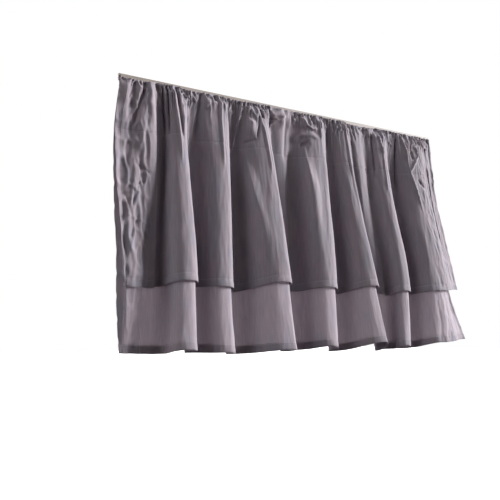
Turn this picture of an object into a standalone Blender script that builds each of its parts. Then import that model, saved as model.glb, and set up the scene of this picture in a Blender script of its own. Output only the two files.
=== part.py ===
"""Cafe curtain of two gathered tiers of cloth on a slim rail.

The rail's flat back face is the mounting face and its centre is the origin. X runs along the rail,
+Y runs into the wall and Z is up, all in metres. Each tier is one sheet of cloth in the shape in which
it hangs. The fold table gives where each crest and trough of the cloth stands at four depths below the
rail's top, and between two stations the cloth swings over in one smooth half wave.
"""

import math
from typing import NamedTuple

import bmesh
import bpy

MM = 0.001

# Rail
RAIL_LENGTH = 1000 * MM
RAIL_HEIGHT = 14 * MM
RAIL_DEPTH = 6 * MM
RAIL_EDGE = 0.8 * MM
RAIL_EDGE_SEGMENTS = 2

# Cloth
FRONT_DROP = 460 * MM
BACK_DROP = 600 * MM
CLOTH_THICKNESS = 1.2 * MM

# The back tier hangs this far behind the front one, at the rail and from the front tier's hem down.
TIER_GAP_AT_RAIL = 4.0 * MM
TIER_GAP_AT_HEM = 6.0 * MM

# Small gathers at the heading: how far they stand out, and the depth by which they have died away.
GATHER_HEIGHT = 4.0 * MM
GATHER_FADE = 150 * MM
GATHERS_PER_SPAN = 1.5

COLUMNS_PER_SPAN = 6
FRONT_ROWS = (0.0, 0.05, 0.12, 0.22, 0.35, 0.52, 0.76, 1.0)
BACK_ROWS = (0.0, 0.04, 0.09, 0.17, 0.28, 0.48, 0.75, 1.0)

# Depths below the rail's top at which the fold table gives each station's place, in mm.
DEPTHS = (0, 150, 460, 600)


class Station(NamedTuple):
    """One crest, trough or side edge of the cloth; all sizes in mm.

    x is the place along the rail and out the distance in front of the wall, at each of DEPTHS.
    head is how far the cloth's top edge lies below the rail's top, and lift how far the hem rides
    above its full drop, at the front tier's hem and at the back tier's.
    """

    x: tuple
    out: tuple
    head: float
    lift: tuple


FRONT_LEFT = Station((-504, -524, -508, -508), (17, 34, 52, 52), 6, (0, 0))
FRONT_RIGHT = Station((489, 499, 570, 602), (17, 24, 40, 44), 6, (24, 24))
BACK_LEFT = Station((-504, -519, -512, -508), (17, 24, 36, 40), 6, (4, 4))
BACK_RIGHT = Station((488, 496, 548, 603), (17, 24, 34, 44), 6, (24, 24))

#        x at 0, 150, 460, 600       out at 0, 150, 460, 600   head  lift
FOLDS = (
    Station((-480, -502, -496, -488), (19, 30, 52, 38), 13, (0, 3)),
    Station((-436, -438, -428, -434), (23, 37, 24, 20), 8, (0, 1)),
    Station((-408, -404, -408, -410), (17, 14, 14, 14), 6, (4, 0)),
    Station((-376, -367, -365, -365), (23, 46, 80, 86), 5, (17, 10)),
    Station((-322, -326, -322, -320), (17, 14, 13, 13), 7, (6, 1)),
    Station((-248, -249, -262, -255), (23, 40, 70, 76), 6, (7, 2)),
    Station((-205, -208, -214, -208), (17, 13, 13, 13), 8, (-2, -4)),
    Station((-133, -119, -100, -85), (23, 48, 84, 92), 6, (22, 6)),
    Station((-95, -88, -70, -60), (17, 20, 26, 26), 5, (5, 0)),
    Station((-57, -62, -54, -42), (22, 24, 29, 29), 5, (5, 0)),
    Station((-22, -34, -34, -20), (17, 13, 13, 13), 6, (3, 2)),
    Station((56, 54, 51, 56), (23, 42, 72, 78), 5, (15, 12)),
    Station((92, 96, 108, 108), (17, 13, 13, 13), 6, (1, -3)),
    Station((147, 159, 203, 231), (23, 40, 76, 84), 5, (23, 20)),
    Station((168, 180, 226, 250), (18, 28, 38, 34), 10, (6, -4)),
    Station((186, 198, 254, 274), (20, 33, 40, 36), 13, (4, 0)),
    Station((224, 238, 286, 294), (17, 21, 31, 28), 12, (0, 0)),
    Station((277, 283, 318, 315), (23, 42, 74, 80), 6, (13, 10)),
    Station((318, 326, 362, 360), (17, 13, 12, 12), 5, (4, 0)),
    Station((400, 412, 448, 456), (23, 42, 76, 82), 6, (17, 17)),
)

# A half wave is summed in this many steps, and its steepest angle is found by halving the range up to
# the widest one, at which the cloth would turn back on itself.
HALF_WAVE_STEPS = 24
WIDEST_BEND = 2.3
BEND_HALVINGS = 30

# Cloth turns over a crest in a broad curve and through a trough in a tight one.
CREST_BREADTH = 1.6


class Tier(NamedTuple):
    """One sheet of cloth: its folds, the rows it is divided into and how it hangs."""

    name: str
    stations: tuple
    rows: tuple
    drop: float
    hem: int
    gap_at_rail: float
    gap_at_hem: float


TIERS = (
    Tier("front_tier", (FRONT_LEFT, *FOLDS, FRONT_RIGHT), FRONT_ROWS, FRONT_DROP, 0, 0.0, 0.0),
    Tier(
        "back_tier",
        (BACK_LEFT, *FOLDS, BACK_RIGHT),
        BACK_ROWS,
        BACK_DROP,
        1,
        TIER_GAP_AT_RAIL,
        TIER_GAP_AT_HEM,
    ),
)


def swing(part: float) -> float:
    """Share of the steepest angle that the cloth has taken, going from a trough up to a crest."""
    return math.sin(math.pi * (1 - max(0.0, 1 - part) ** CREST_BREADTH))


def mean_direction(bend: float) -> tuple[float, float]:
    """Mean cosine and sine of the heading angle along a half wave whose steepest angle is bend."""
    angles = [bend * swing((i + 0.5) / HALF_WAVE_STEPS) for i in range(HALF_WAVE_STEPS)]
    return (
        sum(math.cos(angle) for angle in angles) / HALF_WAVE_STEPS,
        sum(math.sin(angle) for angle in angles) / HALF_WAVE_STEPS,
    )


def half_wave_bend(run: float, rise: float) -> float:
    """Steepest angle of the half wave that carries the cloth by run along X and rise across it."""
    low, high = 0.0, WIDEST_BEND
    for _ in range(BEND_HALVINGS):
        middle = 0.5 * (low + high)
        cosine, sine = mean_direction(middle)
        if sine * run < rise * cosine:
            low = middle
        else:
            high = middle
    return 0.5 * (low + high)


def half_wave(start: tuple, end: tuple, columns: int) -> list[tuple]:
    """Points along the cloth between two stations, as (x, out, normal x, normal out)."""
    run = end[0] - start[0]
    rise = abs(end[1] - start[1])
    side = 1.0 if end[1] > start[1] else -1.0
    bend = half_wave_bend(run, rise)
    length = run / mean_direction(bend)[0]
    x, out = start
    points = []
    steps = HALF_WAVE_STEPS // columns * columns
    for step in range(steps + 1):
        if step % (steps // columns) == 0:
            angle = side * bend * swing(step / steps if side > 0 else 1 - step / steps)
            points.append((x, out, -math.sin(angle), math.cos(angle)))
        middle = (step + 0.5) / steps
        angle = side * bend * swing(middle if side > 0 else 1 - middle)
        x += math.cos(angle) * length / steps
        out += math.sin(angle) * length / steps
    return points


def at_depth(values: tuple, depth: float) -> float:
    """Value of a fold table entry at a depth in mm, on a smooth curve that never overshoots."""
    gaps = [b - a for a, b in zip(DEPTHS, DEPTHS[1:])]
    slopes = [(b - a) / gap for a, b, gap in zip(values, values[1:], gaps)]
    turns = [0.0 if a * b <= 0 else 2 * a * b / (a + b) for a, b in zip(slopes, slopes[1:])]
    tangents = [slopes[0], *turns, slopes[-1]]
    span = max(i for i in range(len(gaps)) if depth >= DEPTHS[i] or i == 0)
    t = (depth - DEPTHS[span]) / gaps[span]
    return (
        (2 * t**3 - 3 * t**2 + 1) * values[span]
        + (t**3 - 2 * t**2 + t) * gaps[span] * tangents[span]
        + (3 * t**2 - 2 * t**3) * values[span + 1]
        + (t**3 - t**2) * gaps[span] * tangents[span + 1]
    )


def gather(span: int, part: float, depth: float) -> float:
    """Height of the small gathers part of the way along a span, crest on crest, trough on trough."""
    fade = max(0.0, 1.0 - depth / GATHER_FADE)
    sign = 1.0 if span % 2 == 0 else -1.0
    return sign * GATHER_HEIGHT * fade**2 * math.cos(2 * math.pi * GATHERS_PER_SPAN * part)


def mix(start: float, end: float, share: float) -> float:
    """Value a share of the way from start to end."""
    return start + (end - start) * share


def depth_below_rail(left: Station, right: Station, part: float, tier: Tier, share: float) -> float:
    """How far below the rail's top the cloth lies, part of the way from one station to the next."""
    ease = 0.5 - 0.5 * math.cos(math.pi * part)
    head = mix(left.head, right.head, ease) * MM
    lift = mix(left.lift[tier.hem], right.lift[tier.hem], ease) * MM
    return mix(head, tier.drop - lift, share)


def tier_row(tier: Tier, share: float) -> list[tuple]:
    """One row of a tier's points, from its left edge to its right, a share of the way down its drop."""
    depth = share * tier.drop
    setback = mix(tier.gap_at_rail, tier.gap_at_hem, min(1.0, depth / FRONT_DROP))
    places = [(at_depth(s.x, depth / MM) * MM, at_depth(s.out, depth / MM) * MM) for s in tier.stations]
    row = []
    for span in range(len(places) - 1):
        wave = half_wave(places[span], places[span + 1], COLUMNS_PER_SPAN)
        # The last point of a span is the first of the next one, so only the last span keeps it.
        for column in range(COLUMNS_PER_SPAN + (span == len(places) - 2)):
            x, out, normal_x, normal_out = wave[column]
            part = column / COLUMNS_PER_SPAN
            push = gather(span, part, depth) - setback
            down = depth_below_rail(tier.stations[span], tier.stations[span + 1], part, tier, share)
            row.append((x + normal_x * push, -(out + normal_out * push), RAIL_HEIGHT / 2 - down))
    return row


def material(name: str, colour: tuple, roughness: float) -> bpy.types.Material:
    """A plain Principled finish."""
    finish = bpy.data.materials.new(name)
    finish.use_nodes = True
    shader = finish.node_tree.nodes["Principled BSDF"]
    shader.inputs["Base Color"].default_value = (*colour, 1.0)
    shader.inputs["Roughness"].default_value = roughness
    shader.inputs["Metallic"].default_value = 0.0
    return finish


def add_object(name: str, bm: bmesh.types.BMesh, finish: bpy.types.Material) -> bpy.types.Object:
    """Turn a bmesh into a named object in the curtain's collection."""
    mesh = bpy.data.meshes.new(name)
    bm.to_mesh(mesh)
    bm.free()
    mesh.materials.append(finish)
    obj = bpy.data.objects.new(name, mesh)
    bpy.data.collections["cafe_curtain"].objects.link(obj)
    return obj


def build_rail(finish: bpy.types.Material) -> bpy.types.Object:
    """The slim batten, its back face flat on the wall plane and its front edges eased."""
    bm = bmesh.new()
    bmesh.ops.create_cube(bm, size=1.0)
    bmesh.ops.scale(bm, vec=(RAIL_LENGTH, RAIL_DEPTH, RAIL_HEIGHT), verts=bm.verts)
    bmesh.ops.translate(bm, vec=(0.0, -RAIL_DEPTH / 2, 0.0), verts=bm.verts)
    front = [e for e in bm.edges if all(v.co.y < -RAIL_DEPTH / 2 for v in e.verts)]
    bmesh.ops.bevel(
        bm,
        geom=front,
        offset=RAIL_EDGE,
        segments=RAIL_EDGE_SEGMENTS,
        profile=0.5,
        affect="EDGES",
        clamp_overlap=True,
    )
    return add_object("rail", bm, finish)


def build_tier(tier: Tier, finish: bpy.types.Material) -> bpy.types.Object:
    """One tier: a grid of cloth laid over the folds and given its thickness."""
    columns = (len(tier.stations) - 1) * COLUMNS_PER_SPAN
    surface = [tier_row(tier, share) for share in tier.rows]
    bm = bmesh.new()
    bmesh.ops.create_grid(bm, x_segments=columns, y_segments=len(tier.rows) - 1, size=0.5)
    for vert in bm.verts:
        column = round((vert.co.x + 0.5) * columns)
        row = round((0.5 - vert.co.y) * (len(tier.rows) - 1))
        vert.co = surface[row][column]
    obj = add_object(tier.name, bm, finish)
    obj.data.shade_smooth()
    thickness = obj.modifiers.new("cloth thickness", "SOLIDIFY")
    thickness.thickness = CLOTH_THICKNESS
    thickness.offset = 0.0
    return obj


def main() -> None:
    """Clear the file and build the rail and the two tiers."""
    for obj in list(bpy.data.objects):
        bpy.data.objects.remove(obj)
    collection = bpy.data.collections.new("cafe_curtain")
    bpy.context.scene.collection.children.link(collection)
    build_rail(material("beige lacquered batten", (0.30, 0.26, 0.23), 0.55))
    cloth = material("grey mauve crinkled cloth", (0.19, 0.165, 0.185), 0.85)
    for tier in TIERS:
        build_tier(tier, cloth)


main()
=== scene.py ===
"""Looks of a cafe curtain: two gathered tiers of crinkled cloth on a slim rail.

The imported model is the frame. The rail keeps its own solid and gets a finish. Each tier is replaced by one
finely divided sheet that hangs on the same folds, with its small gathers, creases, turned hems and sewing.
A place on the cloth is given as the number of folds counted from the left edge and the depth below the
rail's top, so that every crease stays with its fold. Metres throughout; sizes named in mm are turned by MM.
"""

from __future__ import annotations

import logging
import math
from dataclasses import dataclass, field
from enum import Enum
from typing import NamedTuple, Sequence

import bmesh
import bpy
import numpy as np
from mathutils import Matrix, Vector, noise


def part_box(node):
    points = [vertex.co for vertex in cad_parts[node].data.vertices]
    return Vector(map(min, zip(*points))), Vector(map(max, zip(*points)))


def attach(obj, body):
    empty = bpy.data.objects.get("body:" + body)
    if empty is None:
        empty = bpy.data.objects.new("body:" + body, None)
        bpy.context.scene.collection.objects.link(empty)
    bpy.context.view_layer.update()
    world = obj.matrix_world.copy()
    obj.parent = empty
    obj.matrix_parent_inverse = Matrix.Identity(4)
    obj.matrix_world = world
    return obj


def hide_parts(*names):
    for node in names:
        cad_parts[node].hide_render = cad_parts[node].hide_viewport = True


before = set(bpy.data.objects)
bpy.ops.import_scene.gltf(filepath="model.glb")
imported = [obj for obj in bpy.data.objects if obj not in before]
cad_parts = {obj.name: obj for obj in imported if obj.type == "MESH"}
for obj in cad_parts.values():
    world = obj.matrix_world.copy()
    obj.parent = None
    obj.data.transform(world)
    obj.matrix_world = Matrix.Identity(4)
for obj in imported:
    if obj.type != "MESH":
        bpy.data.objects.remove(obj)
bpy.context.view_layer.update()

Tree = bpy.types.NodeTree
Socket = bpy.types.NodeSocket
LOG = logging.getLogger("cafe_curtain")
MM = 0.001
# A wave texture at this scale has one band to each unit of its coordinates.
YARN_WAVE_SCALE = 0.314


# ---- Colours and nodes ----


def srgb(code: str) -> tuple[float, float, float, float]:
    """Turn an sRGB hex colour to linear.

    Args:
        code: Six hex digits, such as "8a8088".

    Returns:
        Linear red, green, blue and an alpha of 1.
    """
    channels = [int(code[i : i + 2], 16) / 255.0 for i in (0, 2, 4)]
    linear = [c / 12.92 if c <= 0.04045 else ((c + 0.055) / 1.055) ** 2.4 for c in channels]
    return (linear[0], linear[1], linear[2], 1.0)


def add_node(
    tree: Tree,
    kind: str,
    settings: dict | None = None,
    links: dict | None = None,
) -> bpy.types.Node:
    """Add one node with its settings and its incoming links.

    Args:
        tree: The node tree that takes the node.
        kind: The node's type name.
        settings: Attributes of the node by name, or input values by socket name or number.
        links: Output sockets by the name or number of the input that each one feeds.

    Returns:
        The new node.
    """
    node = tree.nodes.new(kind)
    for key, value in (settings or {}).items():
        if isinstance(key, str) and hasattr(node, key):
            setattr(node, key, value)
        else:
            node.inputs[key].default_value = value
    for key, socket in (links or {}).items():
        tree.links.new(socket, node.inputs[key])
    return node


def noise_of(tree: Tree, vector: Socket, **settings: float | str) -> Socket:
    """Noise over coordinates that count pattern cells, unless a Scale is given."""
    node = add_node(tree, "ShaderNodeTexNoise", {"Scale": 1.0, **settings}, {"Vector": vector})
    return node.outputs["Fac"]


def share_of(tree: Tree, value: Socket, start: tuple, end: tuple) -> Socket:
    """Carry a value from one range, start, to another, end; each is its least and its most."""
    settings = {"From Min": start[0], "From Max": start[1], "To Min": end[0], "To Max": end[1]}
    return add_node(tree, "ShaderNodeMapRange", settings, {"Value": value}).outputs[0]


def mix_of(tree: Tree, share: Socket, first: Socket | str, second: str) -> Socket:
    """Mix two colours.

    Args:
        tree: The node tree.
        share: How much of the second colour shows.
        first: The first colour, from a socket or as six hex digits.
        second: The second colour as six hex digits.

    Returns:
        The mixed colour.
    """
    settings, links = {"data_type": "RGBA", 7: srgb(second)}, {0: share}
    if isinstance(first, str):
        settings[6] = srgb(first)
    else:
        links[6] = first
    return add_node(tree, "ShaderNodeMix", settings, links).outputs[2]


def bump_of(
    tree: Tree, height: Socket, strength: float, distance: float, under: Socket | None = None
) -> Socket:
    """Relief as a normal, with distance as its full height in metres, laid over an earlier one if given."""
    links = {"Height": height} if under is None else {"Height": height, "Normal": under}
    return add_node(tree, "ShaderNodeBump", {"Strength": strength, "Distance": distance}, links).outputs[0]


def show(tree: Tree, surface: bpy.types.Node) -> None:
    """Make a shader the material's surface."""
    add_node(tree, "ShaderNodeOutputMaterial", {}, {"Surface": surface.outputs[0]})


def new_material(name: str) -> tuple[bpy.types.Material, Tree]:
    """Make an empty node material.

    Args:
        name: The material's name.

    Returns:
        The material and its node tree, with every node removed.
    """
    material = bpy.data.materials.new(name)
    material.use_nodes = True
    material.node_tree.nodes.clear()
    return material, material.node_tree


@dataclass(frozen=True)
class ClothFinish:
    """Crinkled plain-weave cotton and linen, piece dyed a grey mauve and washed soft.

    The eye sees a matt, slightly furry surface that lightens where it turns away, fine upright slubs,
    faint uneven dyeing between a warm and a cool grey, and daylight glowing through a single layer.
    """

    name: str = "grey mauve crinkled cotton"
    body: str = "8a8189"
    warm: str = "90858c"
    cool: str = "847f8a"
    slub: str = "a39aa3"
    glow: str = "8d7f88"
    roughness: float = 0.82
    sheen_weight: float = 0.35
    sheen_roughness: float = 0.45
    sheen_tint: str = "ddd8e4"
    glow_share: float = 0.22
    # Yarns lie 0.45 mm apart; they are drawn three times as coarse, because single ones are too fine to show.
    yarn_pitch: float = 1.35 * MM
    slub_width: float = 2.2 * MM
    slub_length: float = 45 * MM
    crinkle_width: float = 6 * MM
    crinkle_length: float = 38 * MM
    dye_size: float = 70 * MM
    yarn_relief: float = 0.10 * MM
    crinkle_relief: float = 0.45 * MM

    def material(self) -> bpy.types.Material:
        """Build the node material.

        Returns:
            The cloth's material; it reads the sheet's own UV map, which is in metres along the flat cloth.
        """
        material, tree = new_material(self.name)
        uv = add_node(tree, "ShaderNodeUVMap", {"uv_map": "flat"})
        flat = uv.outputs["UV"]

        def stretched(width: float, length: float) -> Socket:
            """UV coordinates in units of one pattern cell, width across the cloth and length down it."""
            scale = (1.0 / width, 1.0 / length, 1.0)
            return add_node(tree, "ShaderNodeMapping", {"Scale": scale}, {"Vector": flat}).outputs[0]

        dye = noise_of(tree, stretched(self.dye_size * 0.5, self.dye_size), Detail=3.0, Roughness=0.55)
        dye_ramp = add_node(tree, "ShaderNodeValToRGB", {}, {"Fac": dye})
        ramp = dye_ramp.color_ramp
        ramp.elements[0].position, ramp.elements[0].color = 0.36, srgb(self.cool)
        ramp.elements[1].position, ramp.elements[1].color = 0.66, srgb(self.warm)
        ramp.elements.new(0.5).color = srgb(self.body)

        slub = noise_of(tree, stretched(self.slub_width, self.slub_length), Detail=4.0, Roughness=0.65)
        slub_share = share_of(tree, slub, (0.48, 0.80), (0.0, 0.55))
        streaked = mix_of(tree, slub_share, dye_ramp.outputs["Color"], self.slub)
        colour = add_node(
            tree,
            "ShaderNodeVectorMath",
            {"operation": "SCALE"},
            {0: streaked, "Scale": share_of(tree, slub, (0.25, 0.55), (0.86, 1.0))},
        ).outputs[0]

        yarn = stretched(self.yarn_pitch, self.yarn_pitch)
        banded = {"wave_type": "BANDS", "Scale": YARN_WAVE_SCALE, "Distortion": 0.6, "Detail": 1.0}
        warp, weft = [
            add_node(tree, "ShaderNodeTexWave", {**banded, "bands_direction": way}, {"Vector": yarn})
            for way in ("X", "Y")
        ]
        links = {0: warp.outputs["Fac"], 1: weft.outputs["Fac"]}
        weave = add_node(tree, "ShaderNodeMath", {"operation": "MULTIPLY"}, links)
        crinkle = noise_of(
            tree,
            stretched(self.crinkle_width, self.crinkle_length),
            noise_type="RIDGED_MULTIFRACTAL",
            Detail=3.0,
            Roughness=0.5,
        )
        crinkled = bump_of(tree, crinkle, 0.55, self.crinkle_relief)
        bump = bump_of(tree, weave.outputs[0], 0.5, self.yarn_relief, crinkled)
        surface = add_node(
            tree,
            "ShaderNodeBsdfPrincipled",
            {
                "Roughness": self.roughness,
                "IOR": 1.5,
                "Specular IOR Level": 0.25,
                "Sheen Weight": self.sheen_weight,
                "Sheen Roughness": self.sheen_roughness,
                "Sheen Tint": srgb(self.sheen_tint),
            },
            {"Base Color": colour, "Normal": bump},
        )
        through = add_node(tree, "ShaderNodeBsdfTranslucent", {"Color": srgb(self.glow)}, {"Normal": bump})
        links = {1: surface.outputs[0], 2: through.outputs[0]}
        mixed = add_node(tree, "ShaderNodeMixShader", {0: self.glow_share}, links)
        show(tree, mixed)
        return material


@dataclass(frozen=True)
class ThreadFinish:
    """Spun polyester sewing thread, a shade lighter than the cloth, with a low soft shine."""

    name: str = "mauve sewing thread"
    light: str = "a69da6"
    dark: str = "8c838c"
    roughness: float = 0.55
    ply_length: float = 1.2 * MM
    relief: float = 0.1 * MM

    def material(self) -> bpy.types.Material:
        """Build the node material.

        Returns:
            The thread's material; it reads Object coordinates.
        """
        material, tree = new_material(self.name)
        place = add_node(tree, "ShaderNodeTexCoord")
        ply = noise_of(tree, place.outputs["Object"], Scale=1.0 / self.ply_length, Detail=1.0)
        colour = mix_of(tree, ply, self.dark, self.light)
        surface = add_node(
            tree,
            "ShaderNodeBsdfPrincipled",
            {"Roughness": self.roughness, "IOR": 1.5, "Sheen Weight": 0.2},
            {"Base Color": colour, "Normal": bump_of(tree, ply, 0.4, self.relief)},
        )
        show(tree, surface)
        return material


@dataclass(frozen=True)
class BattenFinish:
    """Planed beech batten under a thin beige-brown satin lacquer.

    The eye sees long straight grain along the batten, a few darker pores and a soft, low shine.
    """

    name: str = "lacquered beech batten"
    light: str = "90837c"
    dark: str = "685b54"
    pore: str = "5a4e4a"
    roughness: float = 0.48
    grain_width: float = 1.6 * MM
    grain_length: float = 120 * MM
    pore_width: float = 0.7 * MM
    pore_length: float = 9 * MM
    relief: float = 0.08 * MM

    def material(self) -> bpy.types.Material:
        """Build the node material.

        Returns:
            The rail's material; it reads Object coordinates, with the grain along X.
        """
        material, tree = new_material(self.name)
        place = add_node(tree, "ShaderNodeTexCoord")

        def grain(length: float, width: float) -> Socket:
            """Object coordinates in units of one streak, length along the batten and width across it."""
            scale = {"Scale": (1.0 / length, 1.0 / width, 1.0 / width)}
            return add_node(tree, "ShaderNodeMapping", scale, {"Vector": place.outputs["Object"]}).outputs[0]

        streak = noise_of(tree, grain(self.grain_length, self.grain_width), Detail=5.0, Roughness=0.6)
        ramp_node = add_node(tree, "ShaderNodeValToRGB", {}, {"Fac": streak})
        ramp = ramp_node.color_ramp
        ramp.elements[0].position, ramp.elements[0].color = 0.34, srgb(self.dark)
        ramp.elements[1].position, ramp.elements[1].color = 0.62, srgb(self.light)
        pores = noise_of(tree, grain(self.pore_length, self.pore_width), Detail=2.0, Roughness=0.5)
        pore_share = share_of(tree, pores, (0.62, 0.74), (0.0, 0.6))
        colour = mix_of(tree, pore_share, ramp_node.outputs["Color"], self.pore)
        rough = share_of(tree, streak, (0.3, 0.7), (self.roughness - 0.06, self.roughness + 0.1))
        bump = bump_of(tree, streak, 0.4, self.relief)
        surface = add_node(
            tree,
            "ShaderNodeBsdfPrincipled",
            {"IOR": 1.5, "Coat Weight": 0.15, "Coat Roughness": 0.3},
            {"Base Color": colour, "Roughness": rough, "Normal": bump},
        )
        show(tree, surface)
        return material


@dataclass(frozen=True)
class FloorFinish:
    """Matt white studio floor paint with a faint mottle."""

    name: str = "white studio floor"
    light: str = "f7f7f7"
    dark: str = "f1f1f1"
    mottle_size: float = 0.4

    def material(self) -> bpy.types.Material:
        """Build the node material.

        Returns:
            The floor's material.
        """
        material, tree = new_material(self.name)
        place = add_node(tree, "ShaderNodeTexCoord")
        mottle = noise_of(tree, place.outputs["Object"], Scale=1.0 / self.mottle_size, Detail=2.0)
        surface = add_node(
            tree,
            "ShaderNodeBsdfPrincipled",
            {"Roughness": 0.9, "Specular IOR Level": 0.2},
            {"Base Color": mix_of(tree, mottle, self.dark, self.light)},
        )
        show(tree, surface)
        return material


# ---- Folds ----

# Depths below the rail's top at which the fold table gives each station's place, in mm.
DEPTHS = (0, 150, 460, 600)


class Station(NamedTuple):
    """One crest, trough or side edge of the cloth; all sizes in mm.

    x is the place along the rail and out the distance in front of the wall, at each of DEPTHS.
    head is how far the cloth's top edge lies below the rail's top, and lift how far the hem rides
    above its full drop, at the front tier's hem and at the back tier's.
    """

    x: tuple
    out: tuple
    head: float
    lift: tuple


FRONT_LEFT = Station((-504, -524, -508, -508), (17, 34, 52, 52), 6, (0, 0))
FRONT_RIGHT = Station((489, 499, 570, 602), (17, 24, 40, 44), 6, (24, 24))
BACK_LEFT = Station((-504, -519, -512, -508), (17, 24, 36, 40), 6, (4, 4))
BACK_RIGHT = Station((488, 496, 548, 603), (17, 24, 34, 44), 6, (24, 24))

#        x at 0, 150, 460, 600       out at 0, 150, 460, 600   head  lift
FOLDS = (
    Station((-480, -502, -496, -488), (19, 30, 52, 38), 13, (0, 3)),
    Station((-436, -438, -428, -434), (23, 37, 24, 20), 8, (0, 1)),
    Station((-408, -404, -408, -410), (17, 14, 14, 14), 6, (4, 0)),
    Station((-376, -367, -365, -365), (23, 46, 80, 86), 5, (17, 10)),
    Station((-322, -326, -322, -320), (17, 14, 13, 13), 7, (6, 1)),
    Station((-248, -249, -262, -255), (23, 40, 70, 76), 6, (7, 2)),
    Station((-205, -208, -214, -208), (17, 13, 13, 13), 8, (-2, -4)),
    Station((-133, -119, -100, -85), (23, 48, 84, 92), 6, (22, 6)),
    Station((-95, -88, -70, -60), (17, 20, 26, 26), 5, (5, 0)),
    Station((-57, -62, -54, -42), (22, 24, 29, 29), 5, (5, 0)),
    Station((-22, -34, -34, -20), (17, 13, 13, 13), 6, (3, 2)),
    Station((56, 54, 51, 56), (23, 42, 72, 78), 5, (15, 12)),
    Station((92, 96, 108, 108), (17, 13, 13, 13), 6, (1, -3)),
    Station((147, 159, 203, 231), (23, 40, 76, 84), 5, (23, 20)),
    Station((168, 180, 226, 250), (18, 28, 38, 34), 10, (6, -4)),
    Station((186, 198, 254, 274), (20, 33, 40, 36), 13, (4, 0)),
    Station((224, 238, 286, 294), (17, 21, 31, 28), 12, (0, 0)),
    Station((277, 283, 318, 315), (23, 42, 74, 80), 6, (13, 10)),
    Station((318, 326, 362, 360), (17, 13, 12, 12), 5, (4, 0)),
    Station((400, 412, 448, 456), (23, 42, 76, 82), 6, (17, 17)),
)


class Edge(Enum):
    """How a crease meets the cloth on either side."""

    SOFT = "rounded, as cloth bends on its own"
    SHARP = "pressed to a line"


class Crease(NamedTuple):
    """One listed ridge or furrow.

    path is the line that it follows. Each point is a place in folds from the left edge and a depth in mm
    below the rail's top. width is mm to either side of the line, height mm out of the cloth (below zero
    for a furrow), and fade the share of its length over which its lower end dies away; the upper end
    takes half of that.
    """

    path: tuple
    width: float
    height: float
    fade: float = 0.3
    edge: Edge = Edge.SOFT


SHARP = Edge.SHARP
SIDE_STRIP = (
    Crease(((0.66, 2), (0.62, 70)), 4, 4, 0.4, SHARP),
    Crease(((0.25, 20), (0.32, 200), (0.20, 445)), 3, -2.5, 0.2, SHARP),
    Crease(((0.50, 60), (0.45, 300), (0.55, 450)), 3, -2.5, 0.2, SHARP),
    Crease(((0.80, 120), (0.75, 260), (0.70, 455)), 4, -3, 0.2, SHARP),
)
FIRST_PANEL = (
    Crease(((1.85, 4), (1.60, 45), (1.30, 118)), 9, -9),
    Crease(((2.10, 3), (2.10, 60), (2.15, 110)), 9, 4),
    Crease(((1.44, 191), (2.28, 215)), 4, -3, 0.2, SHARP),
    Crease(((0.92, 305), (1.94, 324)), 4, 2.5, 0.2, SHARP),
    Crease(((1.00, 230), (1.70, 262)), 4, 2.4, 0.3, SHARP),
    Crease(((1.60, 225), (1.20, 290)), 4, -2.4, 0.3, SHARP),
    Crease(((0.70, 250), (1.30, 330)), 5, -2.4, 0.3, SHARP),
    Crease(((1.30, 330), (1.90, 372)), 4, 2.4, 0.3, SHARP),
    Crease(((0.60, 340), (1.20, 400)), 4, 2.4, 0.3, SHARP),
    Crease(((1.50, 300), (1.00, 370)), 5, -2.4, 0.3, SHARP),
    Crease(((1.80, 345), (1.40, 420)), 4, -2.4, 0.3, SHARP),
    Crease(((1.20, 400), (1.00, 452)), 4, -2.2, 0.3, SHARP),
)
PANEL_TO_A = (
    Crease(((2.50, 3), (3.08, 33)), 4, 4, 0.2, SHARP),
    Crease(((3.20, 3), (3.08, 33)), 3.5, 3.5, 0.2, SHARP),
    Crease(((2.75, 4), (3.00, 22)), 6, -5),
    Crease(((3.24, 10), (3.24, 130)), 7, -8, 0.35),
    Crease(((3.40, 4), (3.40, 90)), 5, 4, 0.4),
    Crease(((3.58, 6), (3.50, 135)), 7, -8, 0.35),
    Crease(((3.85, 3), (3.85, 28)), 5, -5),
    Crease(((4.00, 2), (4.00, 60), (4.00, 200)), 7, 3.5),
)
A_TO_B = (
    Crease(((4.20, 6), (4.22, 60), (4.20, 140)), 7, -8, 0.4),
    Crease(((4.42, 30), (4.36, 110)), 5, 4, 0.4, SHARP),
    Crease(((4.38, 3), (4.80, 29)), 4, 4, 0.15, SHARP),
    Crease(((4.93, 3), (4.80, 29), (4.90, 140)), 4.5, 3.5, 0.2, SHARP),
    Crease(((4.55, 3), (4.75, 20)), 5, -5),
    Crease(((5.00, 5), (5.18, 29)), 4, 3.5, 0.2, SHARP),
    Crease(((5.34, 5), (5.22, 70), (5.12, 125)), 8, -7),
    Crease(((5.70, 3), (5.88, 28)), 4, 3.5, 0.2, SHARP),
    Crease(((5.82, 4), (5.87, 18)), 4, -5),
    Crease(((6.02, 2), (6.00, 60), (6.00, 200)), 7, 3.5),
)
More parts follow.
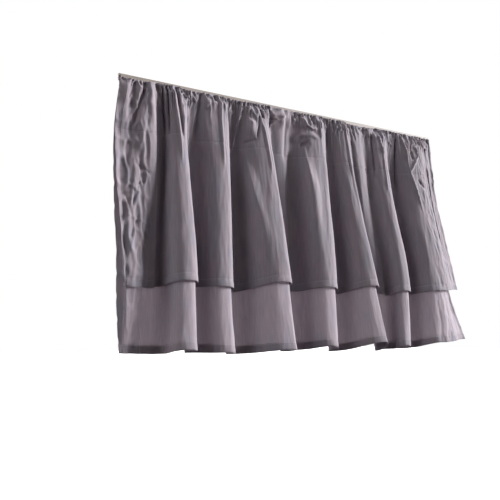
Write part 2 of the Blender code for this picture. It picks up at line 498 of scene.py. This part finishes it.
B_TO_C = (
    Crease(((6.45, 3), (6.40, 30)), 4, 3, 0.3, SHARP),
    Crease(((6.75, 3), (6.70, 26)), 4, 3, 0.3, SHARP),
    Crease(((6.60, 20), (6.80, 120)), 10, -5),
    Crease(((7.32, 3), (7.16, 55), (7.02, 100), (6.96, 130)), 6, 8, 0.15, SHARP),
    Crease(((7.50, 3), (7.55, 32)), 3.5, 4, 0.3, SHARP),
    Crease(((7.62, 42), (7.50, 92)), 24, 7, 0.5),
    Crease(((7.30, 106), (7.75, 98)), 7, -4, 0.3, SHARP),
    Crease(((7.26, 102), (7.44, 185), (7.60, 300), (7.74, 430)), 26, 11, 0.75),
    Crease(((7.30, 106), (7.44, 185), (7.58, 280)), 7, 3, 0.3, SHARP),
    Crease(((7.90, 30), (7.84, 62), (7.68, 100)), 6, -6),
    Crease(((8.10, 12), (8.15, 42)), 13, -9),
    Crease(((8.00, 48), (8.00, 200)), 8, 3.5),
    Crease(((8.95, 4), (9.42, 32), (8.65, 84)), 5, 5, 0.15, SHARP),
    Crease(((9.00, 28), (8.80, 62)), 9, -5),
)
C_TO_D = (
    Crease(((10.00, 2), (10.00, 60)), 5, 3, 0.3, SHARP),
    Crease(((10.35, 8), (10.30, 150)), 9, -5),
    Crease(((10.75, 3), (10.70, 50)), 5, 3.5, 0.3, SHARP),
    Crease(((11.30, 4), (11.52, 32), (11.72, 42), (11.92, 40)), 5, 5.5, 0.15, SHARP),
    Crease(((11.75, 8), (11.85, 30)), 9, -7),
    Crease(((11.08, 84), (11.30, 62), (11.70, 58), (12.00, 66)), 10, 4),
    Crease(((11.30, 92), (11.65, 78)), 10, -5),
    Crease(((11.42, 80), (11.48, 125), (11.60, 200), (11.76, 410)), 28, 15, 0.75),
    Crease(((11.42, 84), (11.50, 125), (11.62, 200)), 6, 3, 0.3, SHARP),
    Crease(((11.90, 4), (12.05, 30), (12.10, 70)), 5, 4.5, 0.2, SHARP),
)
D_TO_F = (
    Crease(((13.22, 3), (13.22, 95)), 5, 6, 0.3, SHARP),
    Crease(((12.90, 8), (13.00, 90)), 8, -4),
    Crease(((13.42, 3), (13.64, 31)), 4, 3.5, 0.2, SHARP),
    Crease(((13.90, 3), (13.64, 31)), 4, 3.5, 0.2, SHARP),
    Crease(((14.00, 2), (14.00, 40), (14.00, 180)), 6, 3),
    Crease(((17.42, 10), (17.46, 80), (17.42, 155)), 9, -8),
    Crease(((17.85, 20), (18.00, 45), (18.10, 80)), 4, 4, 0.2, SHARP),
    Crease(((18.20, 4), (18.15, 45)), 4, 4, 0.2, SHARP),
    Crease(((18.00, 8), (18.10, 30)), 4, -5),
)
F_TO_END = (
    Crease(((18.05, 45), (18.00, 200)), 6, 3),
    Crease(((19.35, 8), (19.26, 80), (19.18, 185)), 7, -9, 0.25),
    Crease(((19.52, 4), (19.70, 48), (19.70, 88)), 5, 5, 0.2, SHARP),
    Crease(((20.05, 4), (20.20, 60), (19.90, 95), (19.70, 120)), 6, 5, 0.15, SHARP),
    Crease(((20.15, 6), (20.75, 40)), 4, 4, 0.15, SHARP),
    Crease(((19.70, 72), (19.72, 112), (19.85, 160), (20.00, 260)), 7, 5, 0.5, SHARP),
    Crease(((19.90, 50), (19.95, 80)), 8, -5),
    Crease(((20.00, 135), (20.30, 165)), 8, -4, 0.3, SHARP),
    Crease(((20.62, 90), (20.62, 250), (20.72, 452)), 9, -7, 0.15),
)
CREASES = SIDE_STRIP + FIRST_PANEL + PANEL_TO_A + A_TO_B + B_TO_C + C_TO_D + D_TO_F + F_TO_END
# A crease that starts this near the top edge, in mm, runs out of it at its full height.
OPEN_ABOVE = 6
# How fast a crease falls off to either side, in units of its width.
CREASE_FALL = 2.2

# How finely a half wave is followed, and the steepest angle that it may take, in radians.
BEND_STEPS = 96
BENDS = 400
WIDEST_BEND = 2.3
# Cloth turns over a crest in a broad curve and through a trough in a tight one.
CREST_BREADTH = 1.6


class Drape:
    """The curve that the cloth follows between its crests and troughs."""

    def __init__(self) -> None:
        """Tabulate the half wave by its steepest angle."""
        steps = (np.arange(BEND_STEPS) + 0.5) / BEND_STEPS
        self.swing = self.turn_at(steps)
        self.bends = np.linspace(0.0, WIDEST_BEND, BENDS)
        angles = self.bends[:, None] * self.swing[None, :]
        cosine, sine = np.cos(angles).mean(axis=1), np.sin(angles).mean(axis=1)
        self.lean = np.arctan2(sine, cosine)

    @staticmethod
    def turn_at(parts: np.ndarray) -> np.ndarray:
        """Share of the steepest angle that the cloth has taken, going from a trough up to a crest."""
        return np.sin(np.pi * (1.0 - (1.0 - parts) ** CREST_BREADTH))

    def span(self, start: np.ndarray, end: np.ndarray, parts: np.ndarray) -> tuple[np.ndarray, ...]:
        """Follow one half wave on every row of the cloth.

        Args:
            start: Rows by (x, out) of the station on the left.
            end: The same for the station on the right.
            parts: Shares of the way across, from 0 to 1.

        Returns:
            x, out, the outward normal's x and out parts, each rows by parts, and the arc length a row.
        """
        run = end[:, 0] - start[:, 0]
        rise = end[:, 1] - start[:, 1]
        bend = np.interp(np.arctan2(np.abs(rise), run), self.lean, self.bends) * np.sign(rise)
        rises = (rise >= 0)[:, None]
        angles = bend[:, None] * np.where(rises, self.swing, self.swing[::-1])
        length = np.hypot(run, rise) / np.hypot(np.cos(angles).mean(axis=1), np.sin(angles).mean(axis=1))
        edges = np.linspace(0.0, 1.0, BEND_STEPS + 1)
        x, out = [
            np.concatenate([np.zeros((len(run), 1)), np.cumsum(turn(angles), axis=1)], axis=1) / BEND_STEPS
            for turn in (np.cos, np.sin)
        ]
        rows = range(len(run))
        x = np.array([np.interp(parts, edges, x[i]) for i in rows]) * length[:, None] + start[:, :1]
        out = np.array([np.interp(parts, edges, out[i]) for i in rows]) * length[:, None] + start[:, 1:]
        heading = bend[:, None] * np.where(rises, self.turn_at(parts), self.turn_at(1.0 - parts))
        return x, out, -np.sin(heading), np.cos(heading), length

    @staticmethod
    def at_depths(values: Sequence[float], depths: np.ndarray) -> np.ndarray:
        """Follow one entry of the fold table down the cloth.

        Args:
            values: The entry at each of DEPTHS.
            depths: Depths in mm.

        Returns:
            Its values on a smooth curve that never overshoots.
        """
        knots, heights = np.array(DEPTHS, float), np.array(values, float)
        gaps = np.diff(knots)
        slopes = np.diff(heights) / gaps
        turns = [0.0 if a * b <= 0 else 2 * a * b / (a + b) for a, b in zip(slopes, slopes[1:])]
        tangents = np.array([slopes[0], *turns, slopes[-1]])
        i = np.clip(np.searchsorted(knots, depths, side="right") - 1, 0, len(gaps) - 1)
        t = (depths - knots[i]) / gaps[i]
        return (
            (2 * t**3 - 3 * t**2 + 1) * heights[i]
            + (t**3 - 2 * t**2 + t) * gaps[i] * tangents[i]
            + (3 * t**2 - 2 * t**3) * heights[i + 1]
            + (t**3 - t**2) * gaps[i] * tangents[i + 1]
        )


class Cell(NamedTuple):
    """Size of one cell of a pattern in the cloth, in mm along it and down it, and which pattern it is."""

    along: float
    down: float
    pattern: float

    def at(self, along: float, depth: float, seed: float) -> float:
        """Noise from about -1 to 1 at a place on the cloth, in mm."""
        return noise.noise(Vector((along / self.along, depth / self.down, seed + self.pattern)))


RUFFLE = Cell(15.0, 34.0, 3.0)
BROAD_CRINKLE = Cell(24.0, 110.0, 0.0)
FINE_CRINKLE = Cell(7.5, 42.0, 7.0)
CRACKLE = Cell(17.0, 48.0, 31.0)
# A ridge stands where its noise crosses zero; the larger this is, the narrower the ridge.
RUFFLE_SHARPNESS = 3.4
CRACKLE_SHARPNESS = 3.2
FINE_HEIGHT = 0.6
CRACKLE_HEIGHT = 2.8
# How far down the ruffles reach, in mm; it wanders along the cloth by as much, over the same distance.
RUFFLE_REACH = 34.0
# Where the cloth's free ends begin, in folds from the left edge; the right one is crackled this much less.
FREE_LEFT = 1.7
FREE_RIGHT = 19.7
FREE_BLEND = 0.6
RIGHT_CRACKLE = 0.5
# Stitching lies in a groove, in mm; below the hem's groove the turned cloth stands proud.
GROOVE_DEPTH = 0.7
GROOVE_WIDTH = 2.5
HEM_RISE = 0.5
HEM_EASE = 4.0


def ease(share: np.ndarray) -> np.ndarray:
    """A share from 0 to 1 with a soft start and end."""
    clipped = np.clip(share, 0.0, 1.0)
    return clipped * clipped * (3.0 - 2.0 * clipped)


def new_object(name: str, bm: bmesh.types.BMesh, finish: bpy.types.Material) -> bpy.types.Object:
    """Turn a bmesh into a smooth-shaded object.

    Args:
        name: The object's name.
        bm: The mesh, which is freed.
        finish: Its material.

    Returns:
        The linked object, at the origin.
    """
    mesh = bpy.data.meshes.new(name)
    bm.to_mesh(mesh)
    bm.free()
    mesh.materials.append(finish)
    mesh.shade_smooth()
    obj = bpy.data.objects.new(name, mesh)
    bpy.context.scene.collection.objects.link(obj)
    return obj


@dataclass
class Tier:
    """One tier of the curtain: a sheet of cloth with its four edges turned to the back, and its sewing."""

    node: str
    left: Station
    right: Station
    hem_index: int
    drop: float
    gap_at_rail: float
    gap_at_hem: float
    seed: float
    rail_half_height: float
    nearest_at_rail: float
    nearest_below: float
    column_pitch: float = 3.1 * MM
    row_pitch: float = 2.9 * MM
    front_drop: float = 460 * MM
    seam_depth: float = 120 * MM
    hem_turn: float = 18 * MM
    side_turn: float = 10 * MM
    head_turn: float = 12 * MM
    hem_gap: float = 1.1 * MM
    side_gap: float = 0.55 * MM
    fold_bulge: float = 0.4 * MM
    ruffle_height: float = 5.0 * MM
    ruffle_depth: float = 110 * MM
    held_share: float = 0.75
    held_depth: float = 24 * MM
    head_slack: float = 2.5 * MM
    head_scallop: float = 2.5 * MM
    scallop_width: float = 9 * MM
    lowest_head: float = 11.5 * MM
    # The cloth's nearest distance to the wall changes from beside the rail to below it over this run.
    rail_ends: float = 14 * MM
    past_rail: float = 16 * MM
    give: float = 0.8 * MM
    # How much closer together the rows lie at the top; 0 would space them evenly.
    head_density: float = 0.25
    hem_line_rise: float = 1.5 * MM
    # Cloth between an edge's last grid line and the outermost line of its fold.
    fold_lead: float = 0.1 * MM
    drape: Drape = field(default_factory=Drape)

    def __post_init__(self) -> None:
        """Lay out the columns and rows of the sheet and work out its surface."""
        self.stations = (self.left, *FOLDS, self.right)
        self.lay_columns()
        self.lay_rows()
        # Distance along the flat cloth as one row, and depth as one column, in mm.
        self.u = self.flat_at[None, :] / MM
        self.v = self.depths[:, None] / MM
        self.surface = self.hang()
        self.down = self.along(0)
        self.across = self.along(1)
        normal = np.cross(self.across, -self.down)
        self.normal = normal / np.linalg.norm(normal, axis=2, keepdims=True)

    def along(self, axis: int) -> np.ndarray:
        """Unit direction over the surface, down the rows for axis 0 or across the columns for axis 1."""
        step = np.gradient(self.surface, axis=axis)
        return step / np.linalg.norm(step, axis=2, keepdims=True)

    def places(self, depths: np.ndarray) -> list[np.ndarray]:
        """Where each station stands at each depth, as rows by (x, out), in metres."""
        return [
            np.stack([self.drape.at_depths(s.x, depths), self.drape.at_depths(s.out, depths)], axis=1) * MM
            for s in self.stations
        ]

    def lay_columns(self) -> None:
        """Divide every span into columns of about the same width of cloth."""
        at_hem = self.places(np.array([self.drop / MM]))
        self.arcs = np.array(
            [self.drape.span(a, b, np.array([0.0]))[4][0] for a, b in zip(at_hem, at_hem[1:])]
        )
        self.counts = [max(4, round(arc / self.column_pitch)) for arc in self.arcs]
        spans = len(self.arcs)
        self.fold_at = np.concatenate([i + np.arange(n) / n for i, n in enumerate(self.counts)] + [[spans]])
        self.knots = np.concatenate([[0.0], np.cumsum(self.arcs)])
        self.flat_at = np.interp(self.fold_at, np.arange(spans + 1), self.knots)
        self.width = float(self.knots[-1])

    def lay_rows(self) -> None:
        """Divide the drop into rows, a little closer together under the rail where the gathers are."""
        share = np.linspace(0.0, 1.0, round(self.drop / self.row_pitch) + 1)
        self.shares = self.head_density * share**2 + (1.0 - self.head_density) * share
        self.depths = self.shares * self.drop

    def hang(self) -> np.ndarray:
        """Work out the hanging surface.

        Returns:
            Rows by columns by (x, y, z), in metres.
        """
        places = self.places(self.depths / MM)
        blocks = []
        for i, count in enumerate(self.counts):
            last = i == len(self.counts) - 1
            parts = np.arange(count + last) / count
            x, out, nx, nout, _ = self.drape.span(places[i], places[i + 1], parts)
            a, b = self.stations[i], self.stations[i + 1]
            wave = 0.5 - 0.5 * np.cos(np.pi * parts)
            head = (a.head + (b.head - a.head) * wave) * MM
            lift = (a.lift[self.hem_index] + (b.lift[self.hem_index] - a.lift[self.hem_index]) * wave) * MM
            at = np.interp(i + parts, np.arange(len(self.knots)), self.knots) / self.scallop_width
            head += self.head_slack + self.head_scallop * np.array(
                [noise.noise(Vector((place, 5.0, self.seed))) for place in at]
            )
            head = np.minimum(head, self.lowest_head)
            down = head[None, :] + (self.drop - lift - head)[None, :] * self.shares[:, None]
            blocks.append(np.stack([x, out, nx, nout, down], axis=2))
        x, out, nx, nout, down = np.moveaxis(np.concatenate(blocks, axis=1), 2, 0)
        reach = np.clip(self.depths / self.front_drop, 0.0, 1.0)
        setback = self.gap_at_rail + (self.gap_at_hem - self.gap_at_rail) * reach
        held = self.held_share * (1.0 - ease(self.depths / self.held_depth))[:, None]
        out = out - setback[:, None] * nout
        out = out - held * (out - self.nearest_at_rail)
        relief = self.relief()
        x = x + nx * (relief - setback[:, None])
        out = self.clear_of_rail(out + nout * relief)
        return np.stack([x, -out, self.rail_half_height - down], axis=2)

    def clear_of_rail(self, out: np.ndarray) -> np.ndarray:
        """Hold the cloth off the rail and the wall with a soft stop.

        Args:
            out: Distance in front of the wall, rows by columns.

        Returns:
            The same, nowhere nearer than the stop.
        """
        below = ease((self.depths - self.rail_ends) / self.past_rail)[:, None]
        stop = self.nearest_at_rail + (self.nearest_below - self.nearest_at_rail) * below
        return stop + self.give * np.logaddexp(0.0, (out - stop) / self.give)

    def relief(self) -> np.ndarray:
        """Add up the creases, ruffles, crinkles and hems.

        Returns:
            Their height over the main folds in metres, rows by columns.
        """
        height = np.zeros((len(self.depths), len(self.flat_at)))
        for crease in CREASES:
            height += self.crease_relief(crease)
        height += self.ruffles() + self.crinkle() + self.sewn()
        return height * MM

    def crease_relief(self, crease: Crease) -> np.ndarray:
        """Height that one crease adds.

        Args:
            crease: The crease.

        Returns:
            Rows by columns, in mm.
        """
        u, v = self.u, self.v
        points = [
            (float(np.interp(at, np.arange(len(self.knots)), self.knots)) / MM, depth)
            for at, depth in crease.path
        ]
        lengths = [math.dist(a, b) for a, b in zip(points, points[1:])]
        nearest = np.full((v.shape[0], u.shape[1]), np.inf)
        travelled = np.zeros_like(nearest)
        before = 0.0
        for (u0, v0), (u1, v1), length in zip(points, points[1:], lengths):
            share = np.clip(((u - u0) * (u1 - u0) + (v - v0) * (v1 - v0)) / length**2, 0.0, 1.0)
            gap = np.hypot(u - u0 - share * (u1 - u0), v - v0 - share * (v1 - v0))
            closer = gap < nearest
            nearest = np.where(closer, gap, nearest)
            travelled = np.where(closer, before + share * length, travelled)
            before += length
        along = travelled / before
        top = 1.0 if crease.path[0][1] <= OPEN_ABOVE else ease(2.0 * along / crease.fade)
        ends = top * ease((1.0 - along) / crease.fade)
        across = nearest / crease.width
        shape = np.exp(-CREASE_FALL * (across if crease.edge is Edge.SHARP else across**2))
        return crease.height * shape * ends

    def ruffles(self) -> np.ndarray:
        """Sharp little ridges of the gathered heading, which wander, meet in loops and die away below.

        Returns:
            Rows by columns, in mm.
        """
        height = np.zeros((len(self.depths), len(self.flat_at)))
        wander = [noise.noise(Vector((along / RUFFLE_REACH, 9.0, 0.0))) for along in self.u[0]]
        reach = RUFFLE_REACH + RUFFLE_REACH * np.array(wander)
        for row, depth in enumerate(self.v[:, 0]):
            if depth > self.ruffle_depth / MM:
                break
            for column, along in enumerate(self.u[0]):
                line = RUFFLE.at(along, depth, self.seed)
                height[row, column] = max(0.0, 1.0 - RUFFLE_SHARPNESS * abs(line))
        return self.ruffle_height / MM * height * np.exp(-((self.v / reach[None, :]) ** 2))

    def crinkle(self) -> np.ndarray:
        """Uneven upright crinkles of the washed cloth.

        Returns:
            Rows by columns, in mm.
        """
        # The side edges hang free and were never pulled straight: their crinkles are deep and crackled.
        left = 1.0 - ease((self.fold_at - FREE_LEFT) / FREE_BLEND)
        free = left + RIGHT_CRACKLE * ease((self.fold_at - FREE_RIGHT) / FREE_BLEND)
        height = np.zeros((len(self.depths), len(self.flat_at)))
        for row, depth in enumerate(self.v[:, 0]):
            for column, along in enumerate(self.u[0]):
                broad = BROAD_CRINKLE.at(along, depth, self.seed)
                fine = FINE_CRINKLE.at(along, depth, self.seed)
                line = CRACKLE.at(along, depth, self.seed)
                crackle = broad + max(0.0, 1.0 - CRACKLE_SHARPNESS * abs(line))
                height[row, column] = broad + FINE_HEIGHT * fine + free[column] * CRACKLE_HEIGHT * crackle
        return height

    def sewn(self) -> np.ndarray:
        """Grooves along the heading seam and the hem's stitching, with the turned hem standing proud.

        Returns:
            One column, in mm.
        """
        hem_line = self.hem_line / MM
        grooves = [
            -GROOVE_DEPTH * np.exp(-(((self.v - line) / GROOVE_WIDTH) ** 2))
            for line in (self.seam_depth / MM, hem_line)
        ]
        return grooves[0] + grooves[1] + HEM_RISE * ease((self.v - hem_line) / HEM_EASE)

    def turned(self, flat: np.ndarray, first: float, last: float, gap: tuple) -> list[tuple]:
        """Order of the grid lines over a sheet whose two opposite edges are turned to the back.

        Args:
            flat: Distance of each grid line over the flat sheet.
            first: How much is turned at the first edge.
            last: How much is turned at the last edge.
            gap: How far the turned cloth lies behind, at the first edge and at the last.

        Returns:
            One (line, distance behind, distance out past the edge, flat distance) a grid line.
        """
        end = len(flat) - 1
        head = [i for i in range(end + 1) if flat[i] - flat[0] <= first]
        tail = [i for i in range(end + 1) if flat[end] - flat[i] <= last]
        lines = [(i, gap[0], 0.0, 2 * flat[0] - flat[i]) for i in reversed(head)]
        lines.append((0, gap[0] / 2, -self.fold_bulge, flat[0] - self.fold_lead))
        lines += [(i, 0.0, 0.0, flat[i]) for i in range(end + 1)]
        lines.append((end, gap[1] / 2, self.fold_bulge, flat[end] + self.fold_lead))
        lines += [(i, gap[1], 0.0, 2 * flat[end] - flat[i]) for i in reversed(tail)]
        return lines

    def build(self, finish: bpy.types.Material) -> bpy.types.Object:
        """Make the sheet.

        Args:
            finish: The cloth's material.

        Returns:
            The sheet, standing for the tier's CAD node.
        """
        rows = self.turned(self.depths, self.head_turn, self.hem_turn, (self.hem_gap, self.hem_gap))
        columns = self.turned(self.flat_at, self.side_turn, self.side_turn, (self.side_gap, self.side_gap))
        row_of, row_behind, row_past, row_flat = (np.array(part) for part in zip(*rows))
        column_of, column_behind, column_past, column_flat = (np.array(part) for part in zip(*columns))
        pick = np.ix_(row_of, column_of)
        behind = (row_behind[:, None] + column_behind[None, :])[..., None]
        points = (
            self.surface[pick]
            - self.normal[pick] * behind
            + self.down[pick] * row_past[:, None, None]
            + self.across[pick] * column_past[None, :, None]
        )
        bm = bmesh.new()
        bmesh.ops.create_grid(bm, x_segments=len(columns) - 1, y_segments=len(rows) - 1, size=0.5)
        uv_layer = bm.loops.layers.uv.new("flat")
        for vert in bm.verts:
            column = round((vert.co.x + 0.5) * (len(columns) - 1))
            row = round((0.5 - vert.co.y) * (len(rows) - 1))
            vert.index = row * len(columns) + column
            vert.co = points[row, column]
        for face in bm.faces:
            for loop in face.loops:
                row, column = divmod(loop.vert.index, len(columns))
                loop[uv_layer].uv = (column_flat[column], -row_flat[row])
        sheet = new_object(f"{self.node}_cloth", bm, finish)
        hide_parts(self.node)
        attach(sheet, "root")
        LOG.info("%s: %.3f m wide, %d faces", sheet.name, self.width, len(sheet.data.polygons))
        return sheet

    @property
    def hem_line(self) -> float:
        """Depth of the hem's stitching, just inside the turned cloth's edge."""
        return self.drop - self.hem_turn + self.hem_line_rise

    def flat_size(self) -> tuple[float, float]:
        """Width and length to which the sheet was cut, with what is turned to the back."""
        return (self.width + 2 * self.side_turn, self.drop + self.hem_turn + self.head_turn)

    def point(self, grid: np.ndarray, row: np.ndarray, column: np.ndarray) -> np.ndarray:
        """Read a grid between its lines.

        Args:
            grid: Rows by columns by 3.
            row: Row numbers, which may lie between two rows.
            column: Column numbers of the same count.

        Returns:
            Points by 3.
        """
        r = np.clip(row.astype(int), 0, grid.shape[0] - 2)
        c = np.clip(column.astype(int), 0, grid.shape[1] - 2)
        fr, fc = (row - r)[:, None], (column - c)[:, None]
        upper = grid[r, c] * (1 - fc) + grid[r, c + 1] * fc
        lower = grid[r + 1, c] * (1 - fc) + grid[r + 1, c + 1] * fc
        return upper * (1 - fr) + lower * fr


@dataclass(frozen=True)
class Sewing:
    """Rows of lockstitch: one thread that lies on the cloth and dips through it at every needle hole."""

    pitch: float = 4.2 * MM
    radius: float = 0.38 * MM
    rise: float = 0.35 * MM
    dip: float = 0.7 * MM
    points_a_stitch: int = 6
    sides: int = 5
    edge_distance: float = 8.5 * MM
    weld: float = 0.01 * MM

    def rows(self, tier: Tier) -> dict[str, tuple[np.ndarray, np.ndarray]]:
        """Lay out the stitch rows of a tier.

        Args:
            tier: The tier that is sewn.

        Returns:
            Row and column numbers of the tier's surface along each stitch row, by name.
        """
        columns = np.arange(len(tier.flat_at), dtype=float)
        rows = np.arange(len(tier.depths), dtype=float)
        hem = np.interp(tier.hem_line, tier.depths, rows)
        left = np.interp(self.edge_distance, tier.flat_at, columns)
        right = np.interp(tier.width - self.edge_distance, tier.flat_at, columns)
        runs = {
            "hem": (np.full_like(columns, hem), columns),
            "left": (rows, np.full_like(rows, left)),
            "right": (rows, np.full_like(rows, right)),
        }
        if tier.hem_index == 0:
            seam = np.interp(tier.seam_depth, tier.depths, rows)
            runs["seam"] = (np.full_like(columns, seam), columns)
        return runs

    def build(self, tier: Tier, name: str, run: tuple, finish: bpy.types.Material) -> bpy.types.Object:
        """Make one row of stitches.

        Args:
            tier: The tier that is sewn.
            name: Which row it is.
            run: Row and column numbers along it.
            finish: The thread's material.

        Returns:
            The thread, as one undulating tube.
        """
        coarse = tier.point(tier.surface, *run)
        lengths = np.concatenate([[0.0], np.cumsum(np.linalg.norm(np.diff(coarse, axis=0), axis=1))])
        stitches = int(lengths[-1] / self.pitch)
        steps = stitches * self.points_a_stitch
        place = np.linspace(0.0, stitches * self.pitch, steps + 1)
        row, column = (np.interp(place, lengths, part) for part in run)
        centre = tier.point(tier.surface, row, column)
        outward = tier.point(tier.normal, row, column)
        ahead = np.gradient(centre, axis=0)
        ahead /= np.linalg.norm(ahead, axis=1, keepdims=True)
        aside = np.cross(ahead, outward)
        phase = np.abs(np.sin(np.pi * place / self.pitch)) ** 0.5
        lift = -self.dip + (self.rise + self.dip) * phase
        bm = bmesh.new()
        bmesh.ops.create_grid(bm, x_segments=steps, y_segments=self.sides, size=0.5)
        for vert in bm.verts:
            i = round((vert.co.x + 0.5) * steps)
            turn = 2 * math.pi * (vert.co.y + 0.5)
            offset = outward[i] * (lift[i] + self.radius * math.cos(turn)) + aside[i] * (
                self.radius * math.sin(turn)
            )
            vert.co = centre[i] + offset
        bmesh.ops.remove_doubles(bm, verts=bm.verts, dist=self.weld)
        bmesh.ops.holes_fill(bm, edges=[e for e in bm.edges if e.is_boundary], sides=self.sides)
        bmesh.ops.recalc_face_normals(bm, faces=bm.faces)
        thread = new_object(f"{tier.node}_{name}_stitches", bm, finish)
        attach(thread, "root")
        LOG.info("%s: %d stitches", thread.name, stitches)
        return thread


# ---- Studio ----


@dataclass(frozen=True)
class Viewpoint:
    """Where the camera stands and how it looks at the curtain."""

    place: tuple = (-1.3119, -1.5314, -0.5355)
    azimuth: float = -37.35
    tilt_up: float = 5.397
    lens: float = 58.75
    sensor: float = 36.0

    def build(self) -> bpy.types.Object:
        """Make the scene's camera.

        Returns:
            The camera.
        """
        turn, tilt = math.radians(self.azimuth), math.radians(self.tilt_up)
        forward = Vector(
            (-math.sin(turn) * math.cos(tilt), math.cos(turn) * math.cos(tilt), math.sin(tilt))
        )
        data = bpy.data.cameras.new("camera")
        data.lens, data.sensor_width = self.lens, self.sensor
        data.clip_start, data.clip_end = 0.05, 100.0
        camera = bpy.data.objects.new("camera", data)
        camera.location = self.place
        camera.rotation_mode = "QUATERNION"
        camera.rotation_quaternion = forward.to_track_quat("-Z", "Y")
        bpy.context.scene.collection.objects.link(camera)
        bpy.context.scene.camera = camera
        return camera


class Sun(NamedTuple):
    """A distant light: its name, the direction from the curtain to it, strength, and size in degrees."""

    name: str
    towards: tuple
    strength: float
    angle: float


@dataclass(frozen=True)
class Studio:
    """Plain white studio: a key grazing the folds from the right, weak soft lights and one from behind."""

    suns: tuple = (
        Sun("key", (0.92, -0.26, 0.28), 10.0, 20.0),
        Sun("soft key", (0.30, -0.72, 0.62), 0.6, 40.0),
        Sun("fill", (-0.94, -0.17, 0.28), 1.6, 30.0),
        Sun("window", (-0.2, 0.9, 0.4), 2.8, 60.0),
    )
    wash: Sun = Sun("floor wash", (0.0, 0.0, 1.0), 3.4, 30.0)
    ambient: float = 0.01
    floor_below: float = 1.55
    floor_size: float = 60.0

    @staticmethod
    def light(sun: Sun) -> bpy.types.Object:
        """Add one soft distant light.

        Args:
            sun: What it is like.

        Returns:
            The light.
        """
        data = bpy.data.lights.new(sun.name, "SUN")
        data.energy = sun.strength
        data.angle = math.radians(sun.angle)
        light = bpy.data.objects.new(sun.name, data)
        light.rotation_mode = "QUATERNION"
        light.rotation_quaternion = (-Vector(sun.towards)).to_track_quat("-Z", "Y")
        bpy.context.scene.collection.objects.link(light)
        return light

    def build(self) -> None:
        """Add the lights, the white surroundings and the floor."""
        for sun in self.suns:
            self.light(sun)
        wash = self.light(self.wash)
        world = bpy.data.worlds.new("studio")
        world.use_nodes = True
        tree = world.node_tree
        tree.nodes.clear()
        path = add_node(tree, "ShaderNodeLightPath")
        # The surroundings are seen white, and light the cloth hardly at all, so that its folds stay deep.
        lit, seen = [
            add_node(tree, "ShaderNodeBackground", {"Color": (1.0, 1.0, 1.0, 1.0), "Strength": strength})
            for strength in (self.ambient, 1.0)
        ]
        links = {0: path.outputs["Is Camera Ray"], 1: lit.outputs[0], 2: seen.outputs[0]}
        both = add_node(tree, "ShaderNodeMixShader", {}, links)
        add_node(tree, "ShaderNodeOutputWorld", {}, {"Surface": both.outputs[0]})
        bpy.context.scene.world = world
        bm = bmesh.new()
        bmesh.ops.create_grid(bm, x_segments=1, y_segments=1, size=self.floor_size / 2)
        bmesh.ops.translate(bm, vec=(0.0, 0.0, -self.floor_below), verts=bm.verts)
        floor = new_object("studio_floor", bm, FloorFinish().material())
        # The wash lights the floor alone, and the floor throws no light up into the folds.
        floor.visible_diffuse = False
        lit_by_wash = bpy.data.collections.new("lit_by_wash")
        lit_by_wash.objects.link(floor)
        wash.light_linking.receiver_collection = lit_by_wash
        bpy.context.scene.view_settings.view_transform = "Standard"


def make_tiers() -> tuple[Tier, Tier]:
    """Work out both tiers.

    Returns:
        The front tier and the back one, which hangs a few millimetres behind it.
    """
    half_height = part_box("rail")[1][2]
    front = Tier(
        node="front_tier",
        left=FRONT_LEFT,
        right=FRONT_RIGHT,
        hem_index=0,
        drop=460 * MM,
        gap_at_rail=0.0,
        gap_at_hem=0.0,
        seed=0.0,
        rail_half_height=half_height,
        nearest_at_rail=12 * MM,
        nearest_below=8 * MM,
    )
    back = Tier(
        node="back_tier",
        left=BACK_LEFT,
        right=BACK_RIGHT,
        hem_index=1,
        drop=600 * MM,
        gap_at_rail=4 * MM,
        gap_at_hem=6 * MM,
        seed=50.0,
        rail_half_height=half_height,
        nearest_at_rail=8 * MM,
        nearest_below=3 * MM,
        column_pitch=3.3 * MM,
        row_pitch=3.6 * MM,
    )
    return front, back


def main() -> None:
    """Build the curtain and its studio."""
    logging.basicConfig(level=logging.INFO, format="%(name)s: %(message)s")
    Viewpoint().build()
    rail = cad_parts["rail"]
    rail.data.materials.clear()
    rail.data.materials.append(BattenFinish().material())
    cloth, thread = ClothFinish().material(), ThreadFinish().material()
    sewing = Sewing()
    for tier in make_tiers():
        sheet = tier.build(cloth)
        threads = [sewing.build(tier, name, run, thread) for name, run in sewing.rows(tier).items()]
        tier.flat_size()
    Studio().build()


if __name__ == "__main__":
    main()
